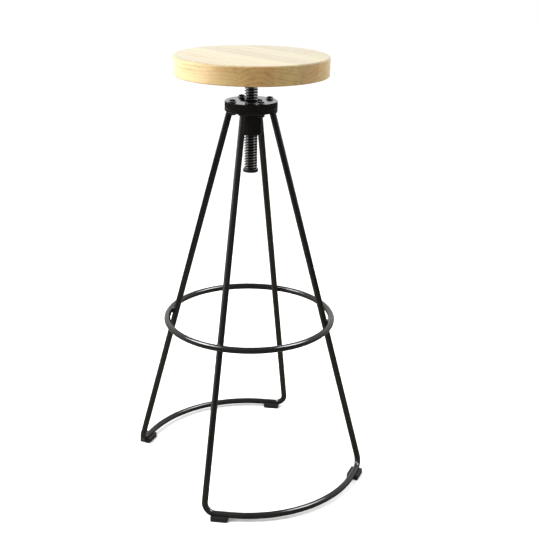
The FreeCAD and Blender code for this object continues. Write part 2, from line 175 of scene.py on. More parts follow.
# Relief sizes and patch sizes of the finishes
SCREW_RELIEF = 0.0005
SCREW_PATCH = 0.012
PLATE_RELIEF = 0.0006
PLATE_PATCH = 0.006
RUBBER_RELIEF = 0.0007
RUBBER_PATCH = 0.008
PAINT_PATCH = 0.06
# How far the roughness of the finishes strays
PAINT_SPREAD = 0.04
SCREW_SPREAD = 0.04
PLATE_SPREAD = 0.08
RUBBER_SPREAD = 0.1
# Rays that look for a rubbed edge, and for a rounded one
RUBBED_EDGE_RAYS = 6
ROUNDED_EDGE_RAYS = 8
# Widths of the rubbed edges, and the sizes of their breaks
PAINT_EDGE = 0.0006
PAINT_BREAK = 0.004
PLATE_EDGE = 0.0004
PLATE_BREAK = 0.002
# How many times as bright paint and plate are where they are rubbed, faded or dull
WORN_PAINT = 4.0
FADED_PAINT = 1.7
RUBBED_PLATE = 2.5
DULL_PLATE = 0.7
# Shine of the paint, the rubber and the floor
PAINT_SHINE = 0.4
RUBBER_SHINE = 0.45
FLOOR_SHINE = 0.1
# Shares of the screw's radius between which the crests brighten, and how bright they are at the least
CREST_START = 0.9
CREST_FULL = 0.99
DULLEST_CREST = 0.75
# How much rougher the crests are
CREST_ROUGHENING = 0.08
# Most that dust covers the rubber, and how much rougher it makes it
DUST_COVER = 0.55
DUST_ROUGHENING = 0.3

# Section of a weld bead, in bead widths along the two faces that it joins: its toes, its face and its root
BEAD_TOES = ((1.0, 0.0), (0.0, 1.0))
BEAD_FACE = ((0.86, 0.34), (0.62, 0.62), (0.34, 0.86))
BEAD_ROOT = (-0.25, -0.25)
# Height of a bead's ripples, as a share of its size, and how far they lag beside its middle, in radians
RIPPLE_HEIGHT = 0.07
RIPPLE_LAG = 1.1

# Distances under which points of a foot become one, before it is cut and after
MERGE_BEFORE_CUT = 1e-5
MERGE_AFTER_CUT = 7e-5
# Angles past which a foot's edges are shaded sharp, and are rounded, and the faces of such a rounding
SHARP_ANGLE = math.radians(30)
ROUNDED_ANGLE = math.radians(40)
ROUNDING_STEPS = 2


class StudioLight(NamedTuple):
    """Soft rectangular light, with a width and a height.

    It stands to the right, towards the camera and up from one point on the stool's axis and aims at
    another. Its power is the setting of the same name. A gloss light shows only in reflections, and one
    with lit pieces lights nothing else.
    """

    name: str
    size: tuple
    place: tuple
    stands_from: str
    aims_at: str
    gloss: bool
    lit: str = ""


LIGHTS = (
    StudioLight("left_light", (2.2, 2.2), (-1.6, 0.2, 0.8), "seat", "seat", False),
    StudioLight("right_light", (0.6, 1.2), (1.6, 0.1, 1.2), "seat", "seat", False),
    StudioLight("left_box", (1.6, 1.2), (-1.7, 0.12, 2.1), "middle", "middle", True, "metal_pieces"),
    StudioLight("right_box", (1.3, 1.2), (1.6, 0.0, 2.4), "middle", "middle", True, "metal_pieces"),
    StudioLight("left_panel", (3.6, 0.95), (-1.5, -0.45, 0.5), "floor", "seat", True, "wood_pieces"),
    StudioLight("right_panel", (3.6, 0.95), (1.5, -0.45, 0.5), "floor", "seat", True, "wood_pieces"),
    StudioLight("left_strip", (1.3, 1.2), (-1.45, 0.3, 0.6), "floor", "hub", True, "left_strip_pieces"),
    StudioLight("right_strip", (1.3, 1.2), (1.45, 0.3, 0.6), "floor", "hub", True, "right_strip_pieces"),
)
LIT_NODES = {
    "metal_pieces": [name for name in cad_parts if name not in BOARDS],
    "wood_pieces": BOARDS,
    "left_strip_pieces": ("lift_screw", "hub_bolts", "front_leg_frame"),
    "right_strip_pieces": ("lift_screw", "hub_bolts"),
}
# The lit floor behind the stool: its width and depth, how far behind it lies, and its height and tilt
GLOW_SIZE = (10.0, 8.0)
GLOW_DISTANCE = 5.4
GLOW_HEIGHT = 0.01
GLOW_TILT = 0.01
# How far a direction points to the camera where the studio's back becomes its front, and up where its
# sides become its top
FRONT_BAND = (-0.2, 0.5)
OVERHEAD_BAND = (0.45, 0.95)
# The floor: its patches in a metre, how bright they are beside the rest, and how rough they make it
FLOOR_CELLS = 1.5
FLOOR_DIMMING = 0.99
FLOOR_BAND = (0.3, 0.7)
FLOOR_ROUGHNESS = (0.85, 0.95)
# Distances between which the stool's gloss loses the floor, and how much of it is left
ECHO_BAND = (0.6, 3.0)
FAR_ECHO = 0.3


# Settings

def colour(label, about, default):
    """Colour setting, as a linear red, green and blue."""
    return FloatVectorProperty(
        name=label, description=about, subtype="COLOR", size=3, min=0.0, max=1.0, default=default
    )


def length(label, about, default):
    """Length setting in metres, shown to a hundredth of a millimetre."""
    return FloatProperty(
        name=label, description=about, unit="LENGTH", precision=5, min=0.0, default=default
    )


def share(label, about, default):
    """Setting from 0 to 1."""
    return FloatProperty(
        name=label, description=about, subtype="FACTOR", min=0.0, max=1.0, default=default
    )


def angle(label, about, degrees):
    """Angle setting, given in degrees."""
    return FloatProperty(name=label, description=about, subtype="ANGLE", default=math.radians(degrees))


def brightness(label, about, default):
    """Setting of how bright the studio is, where 1 is white."""
    return FloatProperty(name=label, description=f"Brightness {about}", min=0.0, default=default)


def power(label, about, default):
    """Setting of a light's power in watts."""
    return FloatProperty(
        name=label, description=f"Power of the {about}", unit="POWER", min=0.0, default=default
    )


class StoolSeatSettings(bpy.types.PropertyGroup):
    """Wood of the glued board seat."""

    yellow_wood: colour("Yellow wood", "Ground colour of the palest boards", (0.55, 0.43, 0.18))
    tan_wood: colour("Tan wood", "Ground colour of the warmest boards", (0.585, 0.355, 0.13))
    # Painted top light: the colour that the top is paled towards, standing in for strong light from above
    painted_top_light: colour("Painted top light", "Painted light that pales the top as if strongly lit from above", (0.3, 0.294, 0.182))
    late_wood: colour("Late wood", "Colour of the dark edge of a growth ring", (0.38, 0.18, 0.05))
    pore: colour("Pores", "Colour of the short open pores", (0.2, 0.095, 0.035))
    ring_spacing: length("Ring spacing", "Mean width of a growth ring", 0.0065)
    across_angle: angle("Across the boards", "Direction across the boards, from +X", 13.1)
    roughness: share("Roughness", "Roughness of the lacquer", 0.24)
    lacquer_index: FloatProperty(
        name="Lacquer gloss", description="Refractive index of the lacquer", min=1.0, default=2.0
    )


class StoolMetalSettings(bpy.types.PropertyGroup):
    """Paint and bare metal of the frame, the screw and the fasteners."""

    paint: colour("Paint", "Colour of the frame's paint", (0.0055, 0.0055, 0.0055))
    paint_roughness: share("Paint roughness", "Roughness of the glossy paint", 0.11)
    peel_size: length("Paint texture", "Size of the ripples in the sprayed paint", 0.0011)
    steel: colour("Screw", "Colour of the blackened lift screw", (0.03, 0.03, 0.031))
    crest: colour("Screw crests", "Colour of the crests, rubbed by the nut", (0.27, 0.27, 0.276))
    steel_roughness: share("Screw roughness", "Roughness of the blackened lift screw", 0.18)
    bolt: colour("Bolts", "Colour of the bright black bolt heads", (0.24, 0.275, 0.35))
    bolt_roughness: share("Bolt roughness", "Roughness of the bolt heads", 0.26)
    nut: colour("Nuts", "Colour of the blackened nuts and washers", (0.07, 0.07, 0.074))
    nut_roughness: share("Nut roughness", "Roughness of the nuts and washers", 0.3)
    zinc: colour("Zinc", "Colour of the plated wood screws", (0.6, 0.59, 0.55))
    zinc_roughness: share("Zinc roughness", "Roughness of the wood screws", 0.33)
    fastener_rounding: length("Fastener rounding", "Radius of the edges of the fasteners", 0.0012)


class StoolFootSettings(bpy.types.PropertyGroup):
    """Rubber of the feet."""

    rubber: colour("Rubber", "Colour of the moulded feet", (0.012, 0.012, 0.0124))
    rubber_roughness: share("Roughness", "Roughness of the rubber", 0.55)
    dust: colour("Dust", "Colour of the scuffed dust near the floor", (0.06, 0.057, 0.054))
    scuff_height: length("Scuff height", "How far up the feet the scuffs fade out", 0.006)
    cheek_drop: length("Cheek drop", "How far below the bar's axis the feet's cheeks end", 0.0008)
    edge_radius: length("Edge radius", "Radius of the moulded edges", 0.0007)


class StoolWeldSettings(bpy.types.PropertyGroup):
    """Beads where the frame is welded."""

    leg_bead: length("Leg bead", "Width of the bead round the top of each leg", 0.0032)
    leg_top_radius: length("Leg circle", "From the stool's axis to a leg's axis, at the leg plate", 0.0388)
    leg_half_angle: angle("Leg angle", "Between a leg and the Y axis, seen from above", 50.2)
    leg_splay: angle("Leg splay", "Between a leg and the upright", 14.99)
    ripple: length("Ripple length", "From one ripple of a bead to the next", 0.0016)
    steps: IntProperty(name="Steps", description="Sections round one bead", min=24, default=144)


class StoolStageSettings(bpy.types.PropertyGroup):
    """Floor, lights and camera."""

    floor: colour("Floor", "Colour of the pale floor", (0.965, 0.965, 0.965))
    floor_bounce: colour(
        "Floor bounce", "Colour of the floor as it lights the stool from below", (0.45, 0.41, 0.36)
    )
    floor_echo: colour(
        "Floor in reflections", "Colour of the floor as the stool's gloss shows it", (0.2, 0.17, 0.14)
    )
    floor_size: length("Floor size", "Side of the floor", 60.0)
    backdrop: brightness("Backdrop", "of the plain backdrop", 1.0)
    top_light: brightness("Top light", "of the studio overhead", 1.15)
    top_echo: brightness("Top in reflections", "overhead as the stool's gloss shows it", 0.5)
    back_light: brightness("Back light", "of the studio behind the stool", 1.5)
    back_echo: brightness("Back in reflections", "behind the stool as its gloss shows it", 1.18)
    front_light: brightness("Front light", "on the camera's side", 0.24)
    front_echo: brightness("Front in reflections", "on the camera's side as the stool's gloss shows it", 0.3)
    left_light: power("Left light", "light at the left", 95.0)
    right_light: power("Right light", "light at the right", 21.0)
    left_box: power("Left box", "light box at the left for the metal's gloss", 190.0)
    right_box: power("Right box", "light box at the right for the metal's gloss", 145.0)
    left_panel: power("Left panel", "low panel at the left for the seat's rim", 16.0)
    right_panel: power("Right panel", "low panel at the right for the seat's rim", 2.5)
    left_strip: power("Left strip", "low light at the left for the screw, bolts and front legs", 7.5)
    right_strip: power("Right strip", "low light at the right for the screw and bolts", 6.5)
    floor_glow: power("Floor glow", "lit floor behind the stool", 380.0)
    camera_place: FloatVectorProperty(
        name="Camera place", description="Where the camera stands", subtype="TRANSLATION", unit="LENGTH",
        default=(-0.83501, -1.48926, 1.04724),
    )
    camera_turn: FloatVectorProperty(
        name="Camera turn", description="How the camera is turned", subtype="EULER",
        default=tuple(math.radians(degrees) for degrees in (69.6052, -0.8697, -30.2565)),
    )
    lens: FloatProperty(
        name="Lens", description="Focal length in millimetres", unit="CAMERA", default=63.2312
    )


# Node trees

FLOAT = "NodeSocketFloat"
COLOUR = "NodeSocketColor"
VECTOR = "NodeSocketVector"


class Tree:
    """Short calls that add and link the nodes of one tree."""

    def __init__(self, tree):
        self.tree = tree

    def add(self, kind, values=None, **settings):
        """New node with its settings; a value that is a socket is linked, any other is set."""
        node = self.tree.nodes.new(kind)
        for name, value in settings.items():
            setattr(node, name, value)
        for name, value in (values or {}).items():
            self.put(node.inputs[name], value)
        return node

    def put(self, socket, value):
        """Links or sets one input."""
        if isinstance(value, bpy.types.NodeSocket):
            self.tree.links.new(value, socket)
        elif isinstance(value, (tuple, list)) and socket.type == "RGBA":
            socket.default_value = (*value[:3], 1.0)
        else:
            socket.default_value = value

    def math(self, operation, first, second=0.0):
        """Result of a sum on values."""
        node = self.add("ShaderNodeMath", operation=operation)
        self.put(node.inputs[0], first)
        self.put(node.inputs[1], second)
        return node.outputs[0]

    def vector(self, operation, first, second=(0.0, 0.0, 0.0)):
        """Result of a sum on vectors."""
        node = self.add("ShaderNodeVectorMath", operation=operation)
        self.put(node.inputs[0], first)
        self.put(node.inputs[1], second)
        return node.outputs["Value" if operation in ("DOT_PRODUCT", "LENGTH") else "Vector"]

    def mix(self, factor, first, second, blend="MIX"):
        """Colour between two colours."""
        node = self.add("ShaderNodeMix", data_type="RGBA", blend_type=blend)
        colours = [socket for socket in node.inputs if socket.type == "RGBA"]
        self.put(node.inputs["Factor"], factor)
        self.put(colours[0], first)
        self.put(colours[1], second)
        return next(socket for socket in node.outputs if socket.type == "RGBA")

    def ramp(self, value, low, high, to_low=0.0, to_high=1.0, smooth=True):
        """Value carried from one range to another, held at the ends."""
        node = self.add(
            "ShaderNodeMapRange",
            {"Value": value, "From Min": low, "From Max": high, "To Min": to_low, "To Max": to_high},
            interpolation_type="SMOOTHSTEP" if smooth else "LINEAR",
        )
        return node.outputs["Result"]

    def noise(self, vector, scale, detail=2.0, roughness=0.5):
        """Smooth noise from 0 to 1."""
        values = {"Vector": vector, "Scale": scale, "Detail": detail, "Roughness": roughness}
        return self.add("ShaderNodeTexNoise", values).outputs["Fac"]

    def cells(self, vector, count, detail=2.0, roughness=0.5):
        """Smooth noise with its own number of cells on each axis."""
        return self.noise(self.stretch(vector, count), 1.0, detail, roughness)

    def stretch(self, vector, scale):
        """Vector scaled by a different amount on each axis."""
        return self.vector("MULTIPLY", vector, scale)


def new_group(name, inputs, outputs):
    """Empty node group with named sockets, its tree, and its input and output nodes."""
    group = bpy.data.node_groups.new(name, "ShaderNodeTree")
    for label, kind in inputs:
        group.interface.new_socket(name=label, in_out="INPUT", socket_type=kind)
    for label, kind in outputs:
        group.interface.new_socket(name=label, in_out="OUTPUT", socket_type=kind)
    tree = Tree(group)
    return tree, tree.add("NodeGroupInput"), tree.add("NodeGroupOutput")


def make_board_grain():
    """Solid wood: growth rings about a heart, fibres, pores and end grain, with Y along the board."""
    tree, given, put_out = new_group(
        "board_grain",
        [
            ("Vector", VECTOR), ("Normal", VECTOR), ("Heart", VECTOR), ("Ring Spacing", FLOAT),
            ("Warmth", FLOAT), ("Shade", FLOAT), ("Roughness", FLOAT), ("Yellow Wood", COLOUR),
            ("Tan Wood", COLOUR), ("Late Wood", COLOUR), ("Pore", COLOUR), ("Bleached", COLOUR),
        ],
        [("Color", COLOUR), ("Roughness", FLOAT), ("Height", FLOAT)],
    )
    place = given.outputs["Vector"]
    # Rings, bent a little along the board
    sway = tree.add(
        "ShaderNodeTexNoise", {"Vector": tree.stretch(place, SWAY_CELLS), "Scale": 1.0, "Detail": 2.0}
    )
    shift = tree.stretch(tree.vector("SUBTRACT", sway.outputs["Color"], (NOISE_MEAN,) * 3), SWAY_REACH)
    from_heart = tree.vector("ADD", tree.vector("SUBTRACT", place, given.outputs["Heart"]), shift)
    radius = tree.vector("LENGTH", tree.stretch(from_heart, RING_STRETCH))
    turns = tree.math("DIVIDE", radius, given.outputs["Ring Spacing"])
    turns = tree.math("ADD", turns, tree.math("MULTIPLY", tree.cells(place, WOBBLE_CELLS), RING_WOBBLE))
    phase = tree.math("FRACT", turns)
    rise = tree.ramp(phase, LATE_START, LATE_PEAK)
    late = tree.math("MULTIPLY", rise, tree.ramp(phase, LATE_PEAK, 1.0, to_low=1.0, to_high=0.0))
    year = tree.add("ShaderNodeTexWhiteNoise", {"W": tree.math("FLOOR", turns)}, noise_dimensions="1D")
    strength = tree.ramp(year.outputs["Value"], 0.0, 1.0, to_low=FAINTEST_RING, smooth=False)
    late = tree.math("MULTIPLY", late, strength)
    # Fibres and pores run along the board
    fibre = tree.cells(place, FIBRE_CELLS, detail=3.0, roughness=0.6)
    streak = tree.cells(place, STREAK_CELLS, roughness=0.55)
    cloud = tree.cells(place, CLOUD_CELLS)
    pore = tree.ramp(tree.cells(place, PORE_CELLS, detail=1.0), *PORE_BAND)
    pore = tree.math("MULTIPLY", pore, tree.ramp(streak, *GATHERING_BAND, to_low=FAINTEST_PORES))
    # Ground colour, then each layer over it
    drift = tree.math("MULTIPLY", tree.math("SUBTRACT", cloud, NOISE_MEAN), CLOUD_WARMTH)
    warm = tree.math("ADD", given.outputs["Warmth"], drift)
    ground = tree.mix(tree.ramp(warm, 0.0, 1.0), given.outputs["Yellow Wood"], given.outputs["Tan Wood"])
    # Painted top light: the top is paled towards a washed-out colour, as if strongly lit from above, and
    # shows less figure
    up = tree.add("ShaderNodeSeparateXYZ", {"Vector": given.outputs["Normal"]}).outputs["Z"]
    top = tree.ramp(up, *TOP_BAND)
    ground = tree.mix(tree.math("MULTIPLY", top, PAINTED_TOP_LIGHT_SHARE), ground, given.outputs["Bleached"])
    ground = tree.mix(1.0, ground, given.outputs["Shade"], "MULTIPLY")
    tint = tree.math("MULTIPLY", late, LATE_TINT)
    tint = tree.math("ADD", tint, tree.ramp(streak, *STREAK_BAND, to_high=STREAK_TINT))
    tint = tree.math("ADD", tint, tree.ramp(fibre, *FIBRE_BAND, to_high=FIBRE_TINT))
    figure = tree.ramp(top, 0.0, 1.0, to_low=RIM_FIGURE, to_high=1.0, smooth=False)
    tint = tree.math("MULTIPLY", tint, figure)
    wood = tree.mix(tint, ground, given.outputs["Late Wood"])
    pore_tint = tree.ramp(top, 0.0, 1.0, to_low=RIM_PORES, to_high=TOP_PORES, smooth=False)
    wood = tree.mix(tree.math("MULTIPLY", pore, pore_tint), wood, given.outputs["Pore"])
    # End grain drinks more lacquer and is darker
    end = tree.math("ABSOLUTE", tree.vector("DOT_PRODUCT", given.outputs["Normal"], (0.0, 1.0, 0.0)))
    end = tree.ramp(end, *END_BAND)
    soaked = tree.math("MULTIPLY", end, END_DARKENING)
    wood = tree.mix(soaked, wood, tree.mix(1.0, wood, wood, "MULTIPLY"))
    tree.put(put_out.inputs["Color"], wood)
    uneven = tree.ramp(fibre, *LACQUER_BAND, *LACQUER_SPREAD)
    rough = tree.math("ADD", given.outputs["Roughness"], uneven)
    rim = tree.ramp(top, 0.0, 1.0, to_low=RIM_ROUGHENING, to_high=0.0, smooth=False)
    rough = tree.math("ADD", rough, rim)
    rough = tree.math("ADD", rough, tree.math("MULTIPLY", pore, PORE_ROUGHENING))
    tree.put(put_out.inputs["Roughness"], rough)
    raised = tree.math("MULTIPLY", fibre, FIBRE_HEIGHT)
    height = tree.math("SUBTRACT", raised, tree.math("MULTIPLY", pore, PORE_HEIGHT))
    height = tree.math("SUBTRACT", height, tree.math("MULTIPLY", late, LATE_HEIGHT))
    tree.put(put_out.inputs["Height"], height)
    return tree.tree


def make_handling():
    """Patchy gloss and fine relief of a finished surface."""
    tree, given, put_out = new_group(
        "handling",
        [
            ("Vector", VECTOR), ("Roughness", FLOAT), ("Spread", FLOAT), ("Relief Size", FLOAT),
            ("Patch Size", FLOAT),
        ],
        [("Roughness", FLOAT), ("Height", FLOAT), ("Patch", FLOAT)],
    )
    place = given.outputs["Vector"]
    patch_scale = tree.math("DIVIDE", 1.0, given.outputs["Patch Size"])
    patch = tree.noise(place, patch_scale, detail=4.0, roughness=0.6)
    fine = tree.noise(place, tree.math("DIVIDE", 1.0, given.outputs["Relief Size"]))
    speck_scale = tree.math("DIVIDE", SPECK_CELLS, given.outputs["Relief Size"])
    speck = tree.noise(place, speck_scale, detail=3.0)
    change = tree.ramp(patch, *GLOSS_BAND, to_low=-1.0)
    change = tree.math("MULTIPLY", change, given.outputs["Spread"])
    grainy = tree.math("MULTIPLY", tree.math("SUBTRACT", speck, NOISE_MEAN), given.outputs["Spread"])
    rough = tree.math("ADD", tree.math("ADD", given.outputs["Roughness"], change), grainy)
    tree.put(put_out.inputs["Roughness"], rough)
    height = tree.math("ADD", fine, tree.math("MULTIPLY", speck, SPECK_HEIGHT))
    tree.put(put_out.inputs["Height"], height)
    tree.put(put_out.inputs["Patch"], tree.ramp(patch, *PATCH_BAND))
    return tree.tree


def make_rubbed_edges():
    """Mask of the outer edges that hands and tools rub, broken up by noise."""
    tree, given, put_out = new_group(
        "rubbed_edges", [("Vector", VECTOR), ("Width", FLOAT), ("Break Up", FLOAT)], [("Mask", FLOAT)]
    )
    rounded = tree.add("ShaderNodeBevel", {"Radius": given.outputs["Width"]}, samples=RUBBED_EDGE_RAYS)
    flat = tree.add("ShaderNodeNewGeometry").outputs["Normal"]
    turn = tree.math("SUBTRACT", 1.0, tree.vector("DOT_PRODUCT", rounded.outputs["Normal"], flat))
    break_scale = tree.math("DIVIDE", 1.0, given.outputs["Break Up"])
    patch = tree.noise(given.outputs["Vector"], break_scale, detail=3.0, roughness=0.6)
    edge = tree.ramp(turn, *EDGE_BAND)
    tree.put(put_out.inputs["Mask"], tree.math("MULTIPLY", edge, tree.ramp(patch, *BREAK_BAND)))
    return tree.tree


def use_group(tree, name, make, values):
    """Outputs of a node group placed in a material with its own values; it is made when first asked for."""
    group = bpy.data.node_groups.get(name) or make()
    return tree.add("ShaderNodeGroup", values, node_tree=group).outputs


def handling(tree, place, roughness, spread, relief_size, patch_size):
    """Outputs of the handling group for one finish."""
    return use_group(tree, "handling", make_handling, {
        "Vector": place, "Roughness": roughness, "Spread": spread, "Relief Size": relief_size,
        "Patch Size": patch_size,
    })


def rubbed_edges(tree, place, width, break_up):
    """Mask of the rubbed edges of one finish."""
    values = {"Vector": place, "Width": width, "Break Up": break_up}
    return use_group(tree, "rubbed_edges", make_rubbed_edges, values)["Mask"]


# Materials

def new_material(name):
    """Material with one Principled shader, its tree, the shader and the piece's own coordinates."""
    material = bpy.data.materials.new(name)
    material.use_nodes = True
    material.node_tree.nodes.clear()
    tree = Tree(material.node_tree)
    shader = tree.add("ShaderNodeBsdfPrincipled")
    tree.add("ShaderNodeOutputMaterial", {"Surface": shader.outputs["BSDF"]})
    return material, tree, shader, tree.add("ShaderNodeTexCoord")


def bump(tree, shader, height, depth, rounding=0.0):
    """Relief of a real depth on the shader, over edges that may be rounded."""
    node = tree.add("ShaderNodeBump", {"Height": height, "Distance": depth})
    if rounding:
        rounded = tree.add("ShaderNodeBevel", {"Radius": rounding}, samples=ROUNDED_EDGE_RAYS)
        tree.put(node.inputs["Normal"], rounded.outputs["Normal"])
    tree.put(shader.inputs["Normal"], node.outputs["Normal"])


def scaled(factor, base):
    """Colour with each of its parts times a factor, up to 1."""
    return tuple(min(1.0, factor * part) for part in base)


def board_material(settings, name, cut, run):
    """Lacquered wood of one board; run is how far along its tree the board was cut."""
    material, tree, shader, coords = new_material(f"wood_{name}")
    turn = (0.0, 0.0, -settings.across_angle)
    place = tree.add("ShaderNodeMapping", {
        "Vector": coords.outputs["Object"], "Rotation": turn, "Location": (0.0, run, 0.0),
    })
    facing = tree.add(
        "ShaderNodeMapping", {"Vector": coords.outputs["Normal"], "Rotation": turn}, vector_type="VECTOR"
    )
    low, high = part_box(name)
    across, above = cut.heart
    grain = use_group(tree, "board_grain", make_board_grain, {
        "Vector": place.outputs["Vector"],
        "Normal": facing.outputs["Vector"],
        "Heart": (across, run, (low.z + high.z) / 2 + above),
        "Ring Spacing": settings.ring_spacing,
        "Warmth": cut.warmth,
        "Shade": cut.shade,
        "Roughness": settings.roughness,
        "Yellow Wood": settings.yellow_wood[:],
        "Tan Wood": settings.tan_wood[:],
        "Late Wood": settings.late_wood[:],
        "Pore": settings.pore[:],
        # Painted top light, which the grain pales the top with
        "Bleached": settings.painted_top_light[:],
    })
    tree.put(shader.inputs["Base Color"], grain["Color"])
    tree.put(shader.inputs["Roughness"], grain["Roughness"])
    shader.inputs["IOR"].default_value = settings.lacquer_index
    bump(tree, shader, grain["Height"], WOOD_DEPTH)
    return material


def paint_material(settings):
    """Glossy black paint, sprayed on steel, a little rubbed at its edges."""
    material, tree, shader, coords = new_material("black_paint")
    place = coords.outputs["Object"]
    touch = handling(tree, place, settings.paint_roughness, PAINT_SPREAD, settings.peel_size, PAINT_PATCH)
    edges = rubbed_edges(tree, place, PAINT_EDGE, PAINT_BREAK)
    base = tree.mix(touch["Patch"], settings.paint[:], scaled(FADED_PAINT, settings.paint))
    base = tree.mix(edges, base, scaled(WORN_PAINT, settings.paint))
    tree.put(shader.inputs["Base Color"], base)
    tree.put(shader.inputs["Roughness"], touch["Roughness"])
    shader.inputs["Specular IOR Level"].default_value = PAINT_SHINE
    bump(tree, shader, touch["Height"], METAL_DEPTH)
    return material


def screw_material(settings):
    """Blackened steel of the lift thread, rubbed brighter on the crests."""
    material, tree, shader, coords = new_material("blackened_steel")
    place = coords.outputs["Object"]
    touch = handling(tree, place, settings.steel_roughness, SCREW_SPREAD, SCREW_RELIEF, SCREW_PATCH)
    low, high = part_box("lift_screw")
    crest_radius = (high.x - low.x) / 2
    from_axis = tree.vector("LENGTH", tree.stretch(place, (1.0, 1.0, 0.0)))
    crest = tree.ramp(from_axis, CREST_START * crest_radius, CREST_FULL * crest_radius)
    crest = tree.math("MULTIPLY", crest, tree.ramp(touch["Patch"], 0.0, 1.0, to_low=DULLEST_CREST))
    tree.put(shader.inputs["Base Color"], tree.mix(crest, settings.steel[:], settings.crest[:]))
    rough = tree.math("ADD", touch["Roughness"], tree.math("MULTIPLY", crest, CREST_ROUGHENING))
    tree.put(shader.inputs["Roughness"], rough)
    shader.inputs["Metallic"].default_value = 1.0
    bump(tree, shader, touch["Height"], METAL_DEPTH)
    return material


def plated_material(name, base, roughness, rounding):
    """Plated fastener, with bright rubbed edges."""
    material, tree, shader, coords = new_material(name)
    place = coords.outputs["Object"]
    touch = handling(tree, place, roughness, PLATE_SPREAD, PLATE_RELIEF, PLATE_PATCH)
    edges = rubbed_edges(tree, place, PLATE_EDGE, PLATE_BREAK)
    plate = tree.mix(touch["Patch"], scaled(DULL_PLATE, base), base[:])
    tree.put(shader.inputs["Base Color"], tree.mix(edges, plate, scaled(RUBBED_PLATE, base)))
    tree.put(shader.inputs["Roughness"], touch["Roughness"])
    shader.inputs["Metallic"].default_value = 1.0
    bump(tree, shader, touch["Height"], METAL_DEPTH, rounding)
    return material


def rubber_material(settings):
    """Matte moulded rubber, scuffed and dusty near the floor."""
    material, tree, shader, coords = new_material("moulded_rubber")
    place = coords.outputs["Object"]
    touch = handling(tree, place, settings.rubber_roughness, RUBBER_SPREAD, RUBBER_RELIEF, RUBBER_PATCH)
    height = tree.add("ShaderNodeSeparateXYZ", {"Vector": place}).outputs["Z"]
    low = tree.ramp(height, 0.0, settings.scuff_height, to_low=1.0, to_high=0.0)
    dust = tree.math("MULTIPLY", tree.math("MULTIPLY", low, touch["Patch"]), DUST_COVER)
    tree.put(shader.inputs["Base Color"], tree.mix(dust, settings.rubber[:], settings.dust[:]))
    rough = tree.math("ADD", touch["Roughness"], tree.math("MULTIPLY", dust, DUST_ROUGHENING))
    tree.put(shader.inputs["Roughness"], rough)
    shader.inputs["Specular IOR Level"].default_value = RUBBER_SHINE
    bump(tree, shader, touch["Height"], RUBBER_DEPTH)
    return material


def dress(nodes, material):
    """Gives packed nodes one material all over."""
    for name in nodes:
        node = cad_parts[name]
        node.data.materials.clear()
        node.data.materials.append(material)


# Meshes

def new_piece(name, mesh):
    """Smooth-shaded object from a mesh under construction."""
    data = bpy.data.meshes.new(name)
    mesh.to_mesh(data)
    mesh.free()
    data.shade_smooth()
    piece = bpy.data.objects.new(name, data)
    bpy.context.scene.collection.objects.link(piece)
    return piece


def bar_radius():
    """Radius of the round bar of the legs and the foot ring."""
    low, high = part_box("foot_ring")
    return (high.z - low.z) / 2


def bead_mesh(name, sections, ripple_count, width):
    """Closed weld bead; each section gives its corner and the two directions of the faces that it joins."""
    profile = [BEAD_TOES[0], *BEAD_FACE, BEAD_TOES[1], BEAD_ROOT]
    mesh = bmesh.new()
    rings = []
    for index, (corner, along, down) in enumerate(sections):
        turn = 2 * math.pi * index / len(sections)
        ring = []
        for point in profile:
            first, second = point
            swell = 1.0
            if point in BEAD_FACE:
                lag = RIPPLE_LAG * (first - second) ** 2
                swell += RIPPLE_HEIGHT * math.sin(ripple_count * turn + lag)
            ring.append(mesh.verts.new(corner + (along * first + down * second) * width * swell))
        rings.append(ring)
    for ring, following in zip(rings, rings[1:] + rings[:1]):
        for i in range(len(profile)):
            j = (i + 1) % len(profile)
            mesh.faces.new((ring[i], ring[j], following[j], following[i]))
    bmesh.ops.recalc_face_normals(mesh, faces=mesh.faces)
    return new_piece(name, mesh)


def leg_bead_sections(settings, side, front):
    """Sections of the bead where one leg meets the leg plate."""
    plate_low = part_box("leg_plate")[0].z
    across = side * math.sin(settings.leg_half_angle)
    along = front * math.cos(settings.leg_half_angle)
    outward = Vector((across, along, 0.0))
    top = outward * settings.leg_top_radius + UP * plate_low
    down = outward * math.sin(settings.leg_splay) - UP * math.cos(settings.leg_splay)
    radius = bar_radius()
    long_radius = radius / math.cos(settings.leg_splay)
    sideways = UP.cross(outward)
    sections = []
    for index in range(settings.steps):
        turn = 2 * math.pi * index / settings.steps
        spot = top + outward * (math.cos(turn) * long_radius) + sideways * (math.sin(turn) * radius)
        away = (outward * math.cos(turn) + sideways * math.sin(turn)).normalized()
        sections.append((spot, away, down))
    return sections


def saddle_foot(settings, node, height):
    """Foot moulded like a packed one, with its cheeks cut off level at a height."""
    mesh = bmesh.new()
    mesh.from_mesh(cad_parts[node].data)
    bmesh.ops.remove_doubles(mesh, verts=mesh.verts, dist=MERGE_BEFORE_CUT)
    whole = [*mesh.verts, *mesh.edges, *mesh.faces]
    bmesh.ops.bisect_plane(mesh, geom=whole, plane_co=UP * height, plane_no=UP, clear_outer=True)
    bmesh.ops.remove_doubles(mesh, verts=mesh.verts, dist=MERGE_AFTER_CUT)
    bmesh.ops.holes_fill(mesh, edges=[edge for edge in mesh.edges if edge.is_boundary], sides=0)
    bmesh.ops.recalc_face_normals(mesh, faces=mesh.faces)
    piece = new_piece(f"saddle_{node}", mesh)
    piece.data.set_sharp_from_angle(angle=SHARP_ANGLE)
    rounding = piece.modifiers.new("moulded_edges", "BEVEL")
    rounding.width = settings.edge_radius
    rounding.segments = ROUNDING_STEPS
    rounding.limit_method = "ANGLE"
    rounding.angle_limit = ROUNDED_ANGLE
    return piece


# Operators

class STOOL_OT_seat(bpy.types.Operator):
    """Give every board of the seat its own piece of lacquered wood"""

    bl_idname = "stool.seat"
    bl_label = "Seat Boards"

    def execute(self, context):
        for index, (name, cut) in enumerate(zip(BOARDS, BOARD_CUTS, strict=True)):
            run = FIRST_CUT + CUT_STEP * index
            dress([name], board_material(context.scene.stool_seat, name, cut, run))
        return {"FINISHED"}


